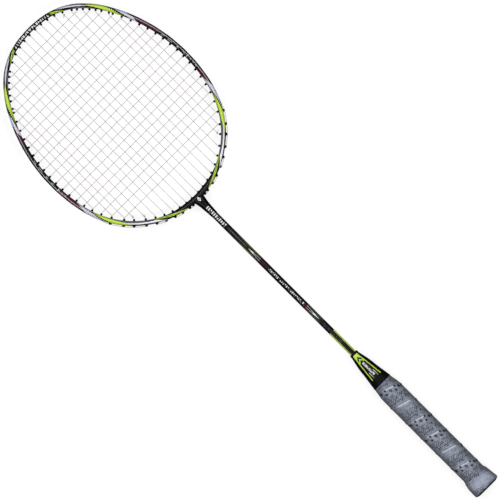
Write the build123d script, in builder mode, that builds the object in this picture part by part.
from build123d import *
import math
import os

os.makedirs("parts", exist_ok=True)

# A badminton racket that lies flat. +Y runs from the butt to the head, +X is to the right with the head up,
# and +Z is up, square to the strings. The origin is under the middle of the racket's length, at the height
# of its lowest point, the butt's rim. All sizes are in millimetres.

# ---- driving dimensions ----
LENGTH = 675.0
BUTT_RADIUS = 15.85
AXIS_Z = BUTT_RADIUS  # the height of the shaft's axis and of the string plane

# The hoop's outer outline, from the top centre round to the throat, as tangent arcs of (radius, turn in
# degrees). A last arc closes it on the centreline.
HOOP_BENDS = [(112.75, 10.91), (70.92, 33.33), (107.17, 15.81), (179.55, 42.74), (100.98, 51.26)]
FRAME_DEPTH = 5.2  # across the frame, in the plane of the strings
FRAME_HEIGHT = 10.0  # the beam, square to the strings
FRAME_CORNER = 2.1
FRAME_WALL = 1.0
CAVITY_DEPTH = 1.7
CAVITY_HEIGHT = 7.2
GROOVE_DEPTH = 1.6
GROOVE_WIDTH = 4.3
GROOVE_END = 15.0  # degrees of the fifth bend that the groove still covers

# Strings. A hole's place is that of its nose: a distance from the racket's axis for a main, and from the
# butt's end for a cross or for a hole that carries one of each.
STRING_RADIUS = 0.35
LANE = 0.36  # mains run this far above the string plane, crosses this far below it
MAIN_TOP_X = [4.1, 12.0, 20.0, 28.0, 36.3, 44.6, 53.4, 62.0, 69.7]
MAIN_THROAT_X = [4.1, 12.0, 20.0, 28.0, 36.5, 44.9, 53.3, 62.4]
CROSS_STATIONS = (
    [652.1, 643.1, 633.3, 622.9, 614.2, 605.0]
    + [595.9 - 9.22 * step for step in range(11)]
    + [494.5, 485.0, 475.2, 464.6]
)
SHARED_TOP = {10: 5, 11: 7}  # main to the cross whose hole it shares
SHARED_THROAT = {9: 21, 10: 20, 11: 18}
TIGHTEST_BEND = 1.0
LEAST_TANGENT = 0.4

# Grommets.
NOSE_LENGTH = 2.0
BARREL_RADIUS = 1.1
GROMMET_BORE = 0.8
FLANGE_RADIUS = 1.7
FLANGE_THICKNESS = 0.7
HOLE_RADIUS = 1.15
STRING_CLEARANCE = 0.65  # from a grommet's end face to the centre of the string that bends over it
THROAT_HOLE_SPREAD = 8.4  # where the first throat holes come out, clear of the neck

# Knots.
KNOT_RING_RADIUS = 0.74
KNOT_CORD_RADIUS = 0.36
KNOT_RING_OFFSET = 0.33
KNOT_DISTANCE = 1.6  # along the main from the corner at the grommet
TAIL_LENGTH = 4.0
TAIL_REACH = 0.6  # how far a tied end comes out of its grommet

# Neck and shaft.
FIT_GAP = 0.05
SHAFT_RADIUS = 3.55
SHAFT_BORE = 2.5
SHAFT_TOP = 414.0
SHAFT_BOTTOM = 72.0
NECK_SECTIONS = [(401.0, 7.6, 7.6), (406.0, 8.2, 8.0), (411.0, 8.9, 8.5), (416.4, 10.0, 9.1), (424.5, 12.9, 9.7)]
CORE_STEM_RADIUS = 2.45
CORE_STEM_BOTTOM = 384.0
CORE_BAR_HALF_TURN = 6.6

# Handle.
CORE_WIDTH = 22.4
CORE_THICKNESS = 20.4
CORE_BEVEL = 5.5
CORE_BOTTOM = 4.0
CORE_STRAIGHT_TOP = 140.0
CORE_NECK = 154.7
CORE_NECK_RADIUS = 9.4
CORE_TOP = 184.0
CORE_TOP_RADIUS = 5.8
CONE_BOTTOM = 154.7
CONE_PROFILE = [(10.1, 163.0), (9.5, 167.0), (8.8, 172.0), (7.9, 180.0), (7.05, 185.0), (5.95, 190.0), (5.0, 194.5)]
CONE_TOP = 197.8
CONE_COLLAR_RADIUS = 4.95
CONE_COLLAR_ROUNDING = 1.2
BAND_TOP = 163.0
BAND_THICKNESS = 0.25
GRIP_BOTTOM = 3.0
GRIP_WIDTH = 26.0
GRIP_THICKNESS = 24.0
GRIP_BEVEL = 6.4
GRIP_ROUNDING = 4.0
GRIP_TOP_RADIUS = 11.2
GRIP_SHOULDER_RADIUS = 13.2
GRIP_TAPER_START = 138.0
GRIP_FLARE = [(11.8, 27.0), (13.4, 21.0), (14.7, 16.0), (15.5, 10.7), (15.75, 6.5), (15.8, 3.0)]
CAP_TOP = 24.0
CAP_WALL = 0.6
CAP_RIM = 3.0
CAP_FLAT_RADIUS = 10.0
CAP_DOME = 1.8
CAP_FLARE = [(11.0, 21.5), (12.6, 16.0), (13.9, 10.7), (14.4, 3.0)]
DISC_RADIUS = 9.0
DISC_THICKNESS = 0.5
PIN_RADIUS = 1.0
PIN_STATION = 96.0
PIN_LENGTH = 16.0
NAIL_RADIUS = 0.6
NAIL_LENGTH = 6.6
NAIL_START = 6.2  # a nail's inner end, from the axis
NAIL_STATION = 12.0
HOLLOW_RADIUS = 5.5  # the core is hollowed from its lower end
HOLLOW_TOP = 62.0


def at(station):
    """The row's Y of a place that is this far from the butt's end."""
    return station - LENGTH / 2


def station_plane(station):
    """A plane square to the racket's axis, looking from the butt to the head, with local Y up."""
    return Plane((0, at(station), AXIS_Z), x_dir=(-1, 0, 0), z_dir=(0, 1, 0))


AXIS_PLANE = Plane((0, at(0), AXIS_Z), x_dir=(1, 0, 0), z_dir=(0, 0, 1))
RACKET_AXIS = Axis((0, 0, AXIS_Z), (0, 1, 0))
PIN_PLANE = Plane((0, at(PIN_STATION), AXIS_Z), x_dir=(0, 1, 0), z_dir=(1, 0, 0))
FROM_BASE = (Align.CENTER, Align.CENTER, Align.MIN)


# ---- the hoop's outline ----
def hoop_arcs():
    """The outline's arcs on the right, each as (centre x, centre y, radius, first angle, last angle).

    An angle is the direction out of the arc's centre, in degrees clockwise from +Y.
    """
    arcs = []
    x, y, angle = 0.0, at(LENGTH), 0.0
    for radius, turn in HOOP_BENDS:
        out = math.radians(angle)
        centre_x = x - radius * math.sin(out)
        centre_y = y - radius * math.cos(out)
        arcs.append((centre_x, centre_y, radius, angle, angle + turn))
        angle += turn
        out = math.radians(angle)
        x = centre_x + radius * math.sin(out)
        y = centre_y + radius * math.cos(out)
    last_radius = x / math.sin(math.radians(angle))
    centre_y = y - last_radius * math.cos(math.radians(angle))
    arcs.append((0.0, centre_y, last_radius, angle, 180.0))
    return arcs


ARCS = hoop_arcs()
GROOVE_LAST_ANGLE = ARCS[4][3] + GROOVE_END
THROAT_STATION = ARCS[5][1] - ARCS[5][2] + LENGTH / 2


def outward(angle, side=1):
    """The unit vector out of the hoop at an angle, on the right (side 1) or the left (side -1)."""
    return Vector(side * math.sin(math.radians(angle)), math.cos(math.radians(angle)), 0)


def hoop_point(arc, angle, inset, side=1):
    """The point at an angle of an arc, this far inside the outer outline, in the string plane."""
    centre_x, centre_y, radius, _, _ = arc
    return Vector(side * centre_x, centre_y, AXIS_Z) + outward(angle, side) * (radius - inset)


def section_plane(arc, angle):
    """The plane across the frame at an angle: local X points out of the hoop, local Y is up."""
    out = outward(angle)
    return Plane(hoop_point(arc, angle, 0), x_dir=out, z_dir=(out.Y, -out.X, 0))


def arc_axis(arc):
    """The axis that an arc's section turns about, so that a positive turn runs clockwise."""
    return Axis((arc[0], arc[1], AXIS_Z), (0, 0, -1))


# ---- the holes ----
NOSE_INSET = FRAME_DEPTH + NOSE_LENGTH


def find_hole(test):
    """The arc and the angle that test finds inside one of the arcs, for the outline of the noses."""
    for arc in ARCS:
        angle = test(arc)
        if angle is not None and arc[3] <= angle <= arc[4]:
            return arc, angle
    raise ValueError("no arc of the hoop holds this hole")


def at_x(x, throat):
    """A test for a nose this far from the racket's axis, in the crown or the throat."""
    def test(arc):
        sine = (x - arc[0]) / (arc[2] - NOSE_INSET)
        if abs(sine) > 1:
            return None
        angle = math.degrees(math.asin(sine))
        return 180 - angle if throat else angle
    return test


def at_station(station):
    """A test for a nose this far from the butt's end."""
    def test(arc):
        cosine = (at(station) - arc[1]) / (arc[2] - NOSE_INSET)
        return math.degrees(math.acos(cosine)) if abs(cosine) <= 1 else None
    return test


def find_holes():
    """Each hole of one side by name, as (arc, angle).

    top3 is the third main's hole in the crown, throat3 the one in the throat and cross3 the third cross's.
    """
    holes = {f"top{i}": find_hole(at_x(x, False)) for i, x in enumerate(MAIN_TOP_X, 1)}
    holes.update({f"throat{i}": find_hole(at_x(x, True)) for i, x in enumerate(MAIN_THROAT_X, 1)})
    holes.update({f"cross{i}": find_hole(at_station(s)) for i, s in enumerate(CROSS_STATIONS, 1)})
    return holes


HOLES = find_holes()


class Hole:
    """A hole on one side: where its nose ends, where its flange sits and which way it runs."""

    def __init__(self, name, side):
        arc, angle = HOLES[name]
        self.groove = angle < GROOVE_LAST_ANGLE
        self.nose = hoop_point(arc, angle, NOSE_INSET, side)
        if name == "throat1":
            angle = 180 - math.degrees(math.asin(THROAT_HOLE_SPREAD / arc[2]))
        self.normal = outward(angle, side)
        self.seat = hoop_point(arc, angle, GROOVE_DEPTH if self.groove else 0, side)
        self.direction = (self.seat - self.nose).normalized()
        self.length = (self.seat - self.nose).length

    def axis_plane(self):
        """A plane at the end of the nose that looks out along the hole."""
        return Plane(self.nose, x_dir=(0, 0, 1), z_dir=self.direction)

    def seat_plane(self):
        """A plane on the flange's seat that looks out of the hoop."""
        return Plane(self.seat, x_dir=(0, 0, 1), z_dir=self.normal)

    def inner(self, lane):
        """The string's corner beyond the nose."""
        return self.nose - self.direction * STRING_CLEARANCE + Vector(0, 0, lane)

    def outer(self, lane):
        """The string's corner beyond the flange."""
        rise = FLANGE_THICKNESS + STRING_CLEARANCE
        return self.seat + self.direction * rise + Vector(0, 0, lane)

    def over(self, lane):
        """The place where a string passes over this grommet's flange."""
        rise = FLANGE_THICKNESS + STRING_CLEARANCE
        return self.seat + self.normal * rise + Vector(0, 0, lane)


def write(sub_part, name):
    """Labels a finished sub-part and writes it as its own STEP file."""
    sub_part.part.label = name
    export_step(sub_part.part, f"parts/{name}.step")


# ---- hoop ----
def frame_outline():
    """The frame's solid section, drawn inward from the outline."""
    with Locations((-FRAME_DEPTH / 2, 0)):
        RectangleRounded(FRAME_DEPTH, FRAME_HEIGHT, FRAME_CORNER)


def cavity_outline(inset, mode):
    """The section of the frame's hollow, or of what fits it with a gap."""
    depth = CAVITY_DEPTH - 2 * inset
    with Locations((-FRAME_DEPTH + FRAME_WALL + CAVITY_DEPTH / 2, 0)):
        RectangleRounded(depth, CAVITY_HEIGHT - 2 * inset, depth * 0.45, mode=mode)


def groove_outline(mode):
    """The section of the groove that the strings lie in."""
    with Locations((-GROOVE_DEPTH / 2, 0)):
        Rectangle(GROOVE_DEPTH, GROOVE_WIDTH, mode=mode)


EVERY_HOLE = [Hole(name, side) for name in HOLES for side in (1, -1)]
FIRST_THROAT_HOLES = [Hole("throat1", side) for side in (1, -1)]
WALL_TO_THROAT = FRAME_DEPTH - FRAME_WALL - CAVITY_DEPTH

with BuildPart() as head_frame:
    for arc in ARCS:
        with BuildSketch(section_plane(arc, arc[3])):
            frame_outline()
            cavity_outline(0, Mode.SUBTRACT)
            if arc[4] < GROOVE_LAST_ANGLE:
                groove_outline(Mode.SUBTRACT)
        revolve(axis=arc_axis(arc), revolution_arc=arc[4] - arc[3])
    with BuildSketch(section_plane(ARCS[4], ARCS[4][3])):
        groove_outline(Mode.ADD)
    revolve(axis=arc_axis(ARCS[4]), revolution_arc=GROOVE_END, mode=Mode.SUBTRACT)
    mirror(about=Plane.YZ)
    with Locations(*[hole.axis_plane() for hole in EVERY_HOLE]):
        Cylinder(HOLE_RADIUS, 3 * NOSE_INSET, mode=Mode.SUBTRACT)
    with BuildSketch(station_plane(THROAT_STATION - 1)):
        Circle(CORE_STEM_RADIUS + FIT_GAP)
    extrude(amount=1 + WALL_TO_THROAT + CAVITY_DEPTH / 2, mode=Mode.SUBTRACT)
write(head_frame, "head_frame")


# ---- T-joint and shaft ----
with BuildPart() as throat_blank:
    with BuildSketch(section_plane(ARCS[5], ARCS[5][3])):
        frame_outline()
    revolve(axis=arc_axis(ARCS[5]), revolution_arc=2 * (180 - ARCS[5][3]))

with BuildPart() as t_joint_sleeve:
    for station, width, height in NECK_SECTIONS:
        with BuildSketch(station_plane(station)):
            Ellipse(width / 2, height / 2)
    loft()
    add(throat_blank.part, mode=Mode.SUBTRACT)
    with BuildSketch(station_plane(NECK_SECTIONS[0][0])):
        Circle(SHAFT_RADIUS + FIT_GAP)
    extrude(amount=SHAFT_TOP - NECK_SECTIONS[0][0], mode=Mode.SUBTRACT)
    with BuildSketch(station_plane(SHAFT_TOP)):
        Circle(CORE_STEM_RADIUS + FIT_GAP)
    extrude(amount=FRAME_HEIGHT, mode=Mode.SUBTRACT)
write(t_joint_sleeve, "t_joint_sleeve")

with BuildPart() as t_joint_core:
    with BuildSketch(section_plane(ARCS[5], 180 - CORE_BAR_HALF_TURN)):
        cavity_outline(FIT_GAP, Mode.ADD)
    revolve(axis=arc_axis(ARCS[5]), revolution_arc=2 * CORE_BAR_HALF_TURN)
    with BuildSketch(station_plane(CORE_STEM_BOTTOM)):
        Circle(CORE_STEM_RADIUS)
    extrude(amount=THROAT_STATION + WALL_TO_THROAT + CAVITY_DEPTH / 2 - CORE_STEM_BOTTOM)
    with Locations(*[hole.axis_plane() for hole in FIRST_THROAT_HOLES]):
        Cylinder(HOLE_RADIUS, 3 * NOSE_INSET, mode=Mode.SUBTRACT)
write(t_joint_core, "t_joint_core")

with BuildPart() as shaft:
    with BuildSketch(station_plane(SHAFT_BOTTOM)):
        Circle(SHAFT_RADIUS)
        Circle(SHAFT_BORE, mode=Mode.SUBTRACT)
    extrude(amount=SHAFT_TOP - SHAFT_BOTTOM)
    with BuildSketch(PIN_PLANE):
        Circle(PIN_RADIUS + FIT_GAP)
    extrude(amount=PIN_LENGTH, both=True, mode=Mode.SUBTRACT)
write(shaft, "shaft")

with BuildPart() as shaft_pin:
    with BuildSketch(PIN_PLANE):
        Circle(PIN_RADIUS)
    extrude(amount=PIN_LENGTH / 2, both=True)
write(shaft_pin, "shaft_pin")


# ---- handle ----
def bevelled(width, thickness, bevel):
    """A handle's section: a rectangle with bevelled corners."""
    section = Rectangle(width, thickness)
    chamfer(section.vertices(), bevel)


def nail_planes():
    """A plane at each nail's inner end that looks out along the nail."""
    out = [Vector(side, 0, 0) for side in (1, -1)]
    place = Vector(0, at(NAIL_STATION), AXIS_Z)
    return [Plane(place + way * NAIL_START, x_dir=(0, 0, 1), z_dir=way) for way in out]


with BuildPart() as core_blank:
    with BuildSketch(station_plane(CORE_BOTTOM)):
        bevelled(CORE_WIDTH, CORE_THICKNESS, CORE_BEVEL)
    extrude(amount=CORE_STRAIGHT_TOP - CORE_BOTTOM)
    with BuildSketch(station_plane(CORE_STRAIGHT_TOP)):
        bevelled(CORE_WIDTH, CORE_THICKNESS, CORE_BEVEL)
    with BuildSketch(station_plane(CORE_NECK)):
        Circle(CORE_NECK_RADIUS)
    loft()
    with BuildSketch(station_plane(CORE_NECK)):
        Circle(CORE_NECK_RADIUS)
    with BuildSketch(station_plane(CORE_TOP)):
        Circle(CORE_TOP_RADIUS)
    loft()

with BuildPart() as handle_core:
    add(core_blank.part)
    with BuildSketch(station_plane(SHAFT_BOTTOM)):
        Circle(SHAFT_RADIUS + FIT_GAP)
    extrude(amount=CORE_TOP - SHAFT_BOTTOM, mode=Mode.SUBTRACT)
    with BuildSketch(station_plane(CORE_BOTTOM)):
        Circle(HOLLOW_RADIUS)
    extrude(amount=HOLLOW_TOP - CORE_BOTTOM, mode=Mode.SUBTRACT)
    with BuildSketch(PIN_PLANE):
        Circle(PIN_RADIUS + FIT_GAP)
    extrude(amount=PIN_LENGTH / 2, both=True, mode=Mode.SUBTRACT)
    with Locations(*nail_planes()):
        Cylinder(NAIL_RADIUS + FIT_GAP, NAIL_LENGTH, align=FROM_BASE, mode=Mode.SUBTRACT)
write(handle_core, "handle_core")

with BuildPart() as cap_blank:
    with BuildSketch(station_plane(CAP_RIM)):
        bevelled(CORE_WIDTH + 2 * CAP_WALL, CORE_THICKNESS + 2 * CAP_WALL, CORE_BEVEL)
    extrude(amount=CAP_TOP - CAP_RIM)
    with BuildSketch(AXIS_PLANE):
        with BuildLine():
            Polyline((0, CAP_RIM), (0, CAP_FLARE[0][1]), CAP_FLARE[0])
            Spline(*CAP_FLARE)
            Line(CAP_FLARE[-1], (0, CAP_RIM))
        make_face()
    revolve(axis=RACKET_AXIS)

with BuildPart() as butt_cap:
    add(cap_blank.part)
    with BuildSketch(AXIS_PLANE):
        with BuildLine():
            Polyline((0, 0), (CAP_FLAT_RADIUS, 0))
            TangentArc((CAP_FLAT_RADIUS, 0), (BUTT_RADIUS, CAP_DOME), tangent=(1, 0))
            Polyline((BUTT_RADIUS, CAP_DOME), (BUTT_RADIUS, CAP_RIM), (0, CAP_RIM), (0, 0))
        make_face()
    revolve(axis=RACKET_AXIS)
    with BuildSketch(station_plane(CORE_BOTTOM)):
        bevelled(CORE_WIDTH + 2 * FIT_GAP, CORE_THICKNESS + 2 * FIT_GAP, CORE_BEVEL)
    extrude(amount=CAP_TOP, mode=Mode.SUBTRACT)
    with BuildSketch(station_plane(0)):
        Circle(DISC_RADIUS + FIT_GAP)
    extrude(amount=DISC_THICKNESS, mode=Mode.SUBTRACT)
    with Locations(*nail_planes()):
        Cylinder(NAIL_RADIUS + FIT_GAP, NAIL_LENGTH, align=FROM_BASE, mode=Mode.SUBTRACT)
write(butt_cap, "butt_cap")

with BuildPart() as butt_disc:
    with BuildSketch(station_plane(0)):
        Circle(DISC_RADIUS)
    extrude(amount=DISC_THICKNESS)
write(butt_disc, "butt_disc")

with BuildPart() as butt_cap_nails:
    with Locations(*nail_planes()):
        Cylinder(NAIL_RADIUS, NAIL_LENGTH, align=FROM_BASE)
write(butt_cap_nails, "butt_cap_nails")

with BuildPart() as grip_tape:
    with BuildSketch(station_plane(GRIP_BOTTOM)) as grip_section:
        bevelled(GRIP_WIDTH, GRIP_THICKNESS, GRIP_BEVEL)
        fillet(grip_section.vertices(), GRIP_ROUNDING)
    extrude(amount=CONE_BOTTOM - GRIP_BOTTOM)
    with BuildSketch(AXIS_PLANE):
        with BuildLine():
            Polyline(
                (0, GRIP_BOTTOM),
                (GRIP_WIDTH, GRIP_BOTTOM),
                (GRIP_WIDTH, GRIP_TAPER_START),
                (GRIP_SHOULDER_RADIUS, GRIP_TAPER_START),
                (GRIP_TOP_RADIUS, CONE_BOTTOM),
                (0, CONE_BOTTOM),
                (0, GRIP_BOTTOM),
            )
        make_face()
    revolve(axis=RACKET_AXIS, mode=Mode.INTERSECT)
    with BuildSketch(AXIS_PLANE):
        with BuildLine():
            Polyline((0, GRIP_BOTTOM), (0, GRIP_FLARE[0][1]), GRIP_FLARE[0])
            Spline(*GRIP_FLARE)
            Line(GRIP_FLARE[-1], (0, GRIP_BOTTOM))
        make_face()
    revolve(axis=RACKET_AXIS)
    add(core_blank.part, mode=Mode.SUBTRACT)
    add(cap_blank.part, mode=Mode.SUBTRACT)
write(grip_tape, "grip_tape")

with BuildPart() as cone_cap:
    with BuildSketch(AXIS_PLANE):
        with BuildLine():
            Polyline(
                (SHAFT_RADIUS + FIT_GAP, CONE_TOP),
                (SHAFT_RADIUS + FIT_GAP, CORE_TOP),
                (CORE_TOP_RADIUS + FIT_GAP, CORE_TOP),
                (CORE_NECK_RADIUS + FIT_GAP, CONE_BOTTOM),
                (GRIP_TOP_RADIUS - BAND_THICKNESS, CONE_BOTTOM),
                (CONE_PROFILE[0][0] - BAND_THICKNESS, BAND_TOP),
                CONE_PROFILE[0],
            )
            Spline(*CONE_PROFILE)
            Polyline(CONE_PROFILE[-1], (CONE_COLLAR_RADIUS, CONE_TOP - CONE_COLLAR_ROUNDING))
            RadiusArc(
                (CONE_COLLAR_RADIUS, CONE_TOP - CONE_COLLAR_ROUNDING),
                (CONE_COLLAR_RADIUS - CONE_COLLAR_ROUNDING, CONE_TOP),
                -CONE_COLLAR_ROUNDING,
            )
            Line((CONE_COLLAR_RADIUS - CONE_COLLAR_ROUNDING, CONE_TOP), (SHAFT_RADIUS + FIT_GAP, CONE_TOP))
        make_face()
    revolve(axis=RACKET_AXIS)
write(cone_cap, "cone_cap")

with BuildPart() as finishing_tape:
    with BuildSketch(AXIS_PLANE):
        with BuildLine():
            Polyline(
                (GRIP_TOP_RADIUS, CONE_BOTTOM),
                (CONE_PROFILE[0][0], BAND_TOP),
                (CONE_PROFILE[0][0] - BAND_THICKNESS, BAND_TOP),
                (GRIP_TOP_RADIUS - BAND_THICKNESS, CONE_BOTTOM),
                (GRIP_TOP_RADIUS, CONE_BOTTOM),
            )
        make_face()
    revolve(axis=RACKET_AXIS)
write(finishing_tape, "finishing_tape")


# ---- grommets ----
def write_grommets(name, hole_names, sides=(1, -1)):
    """Writes a group of separate grommets, each a bored barrel with a round flange."""
    holes = [Hole(hole_name, side) for side in sides for hole_name in hole_names]
    with BuildPart() as group:
        for hole in holes:
            with BuildSketch(hole.axis_plane()):
                Circle(BARREL_RADIUS)
            extrude(amount=hole.length)
        with Locations(*[hole.seat_plane() for hole in holes]):
            Cylinder(FLANGE_RADIUS, FLANGE_THICKNESS, align=FROM_BASE)
        with Locations(*[hole.axis_plane() for hole in holes]):
            Cylinder(GROMMET_BORE, 3 * NOSE_INSET, mode=Mode.SUBTRACT)
    write(group, name)


SHOULDER = ["top6", "cross1", "top7", "cross2", "top8", "cross3", "top9", "cross4"]
SIDE = ["cross6"] + [f"cross{i}" for i in range(8, 18)] + ["cross19"]
SHARED = [f"cross{i}" for i in (*SHARED_TOP.values(), *SHARED_THROAT.values())]
write_grommets("crown_grommets", [f"top{i}" for i in range(1, 6)])
write_grommets("shoulder_grommets_right", SHOULDER, (1,))
write_grommets("shoulder_grommets_left", SHOULDER, (-1,))
write_grommets("side_grommets_right", SIDE, (1,))
write_grommets("side_grommets_left", SIDE, (-1,))
write_grommets("shared_grommets", SHARED)
write_grommets("throat_grommets", [f"throat{i}" for i in range(1, 9)])


# ---- strings ----
def main_hole(number, end, side):
    """A main's hole at its top or throat end."""
    shared = SHARED_TOP if end == "top" else SHARED_THROAT
    return Hole(f"cross{shared[number]}" if number in shared else f"{end}{number}", side)


def main_route(side):
    """One side's mains, from the outside of the crown outward to the tied end."""
    skipped = {("top", 6): "cross1", ("top", 8): "cross3", ("top", 10): "cross6"}
    points = []
    end = "top"
    for number in range(1, 12):
        first = main_hole(number, end, side)
        end = "throat" if end == "top" else "top"
        last = main_hole(number, end, side)
        points += [first.outer(LANE), first.inner(LANE), last.inner(LANE), last.outer(LANE)]
        if (end, number) in skipped:
            points.append(Hole(skipped[end, number], side).over(LANE))
    points.append(Hole("cross19", side).over(2 * LANE))
    points.append(Hole("cross20", side).over(3 * LANE))
    points.append(Hole("cross21", side).over(3 * LANE))
    tied = Hole("throat8", side)
    points += [tied.outer(-LANE), tied.nose - tied.direction * TAIL_REACH - Vector(0, 0, LANE)]
    return points


def cross_route():
    """All the crosses, from the end that is tied by the fifth main on the right, down to the throat."""
    skipped = {1: "top7", 2: "top8", 3: "top9"}
    side = 1
    tied = Hole("top5", side)
    points = [tied.nose - tied.direction * TAIL_REACH - Vector(0, 0, LANE), tied.outer(-LANE)]
    points.append(Hole("top6", side).over(-LANE))
    for number in range(1, len(CROSS_STATIONS) + 1):
        first, last = Hole(f"cross{number}", side), Hole(f"cross{number}", -side)
        points += [first.outer(-LANE), first.inner(-LANE), last.inner(-LANE), last.outer(-LANE)]
        side = -side
        if number in skipped:
            points.append(Hole(skipped[number], side).over(-LANE))
    points.append(Hole("throat8", side).over(-3 * LANE))
    tied = Hole("throat7", side)
    return points + [tied.outer(-LANE), tied.nose - tied.direction * TAIL_REACH - Vector(0, 0, LANE)]


def bend_radii(points):
    """A radius for each corner: tight where the string turns hard, larger where it hardly turns."""
    radii = []
    for before, corner, after in zip(points, points[1:], points[2:]):
        turn = math.radians((corner - before).get_angle(after - corner))
        radii.append(max(TIGHTEST_BEND, LEAST_TANGENT / math.tan(turn / 2)))
    return radii


def write_string(name, points):
    """Writes a string that runs through these points, and prints its length and its volume's agreement."""
    with BuildPart() as string:
        with BuildLine():
            path = FilletPolyline(*points, radius=bend_radii(points))
        with BuildSketch(Plane(path @ 0, z_dir=path % 0)):
            Circle(STRING_RADIUS)
        sweep()
    length = path.length
    agreement = string.part.volume / (math.pi * STRING_RADIUS**2 * length)
    print(f"{name}: {length:.0f} mm long, volume over section times length {agreement:.4f}")
    write(string, name)


write_string("main_string", main_route(-1)[::-1] + main_route(1))
write_string("cross_string", cross_route())


# ---- knots ----
def write_knots(name, places):
    """Writes knots, each round the main that stands in a hole, as (end, number, side)."""
    with BuildPart() as knots:
        for end, number, side in places:
            corner = main_hole(number, end, side).inner(LANE)
            far = main_hole(number, "throat" if end == "top" else "top", side).inner(LANE)
            way = (far - corner).normalized()
            plane = Plane(corner + way * KNOT_DISTANCE, x_dir=(-side * way.Y, side * way.X, 0), z_dir=way)
            for offset in (-KNOT_RING_OFFSET, KNOT_RING_OFFSET):
                with Locations(plane.offset(offset)):
                    Torus(KNOT_RING_RADIUS, KNOT_CORD_RADIUS)
            with BuildSketch(Plane(plane.from_local_coords((0, KNOT_RING_RADIUS, 0)), z_dir=plane.x_dir)):
                Circle(STRING_RADIUS)
            extrude(amount=TAIL_LENGTH)
    write(knots, name)


write_knots("main_string_knots", [("throat", 8, 1), ("throat", 8, -1)])
write_knots("cross_string_knots", [("top", 5, 1), ("throat", 7, -1)])
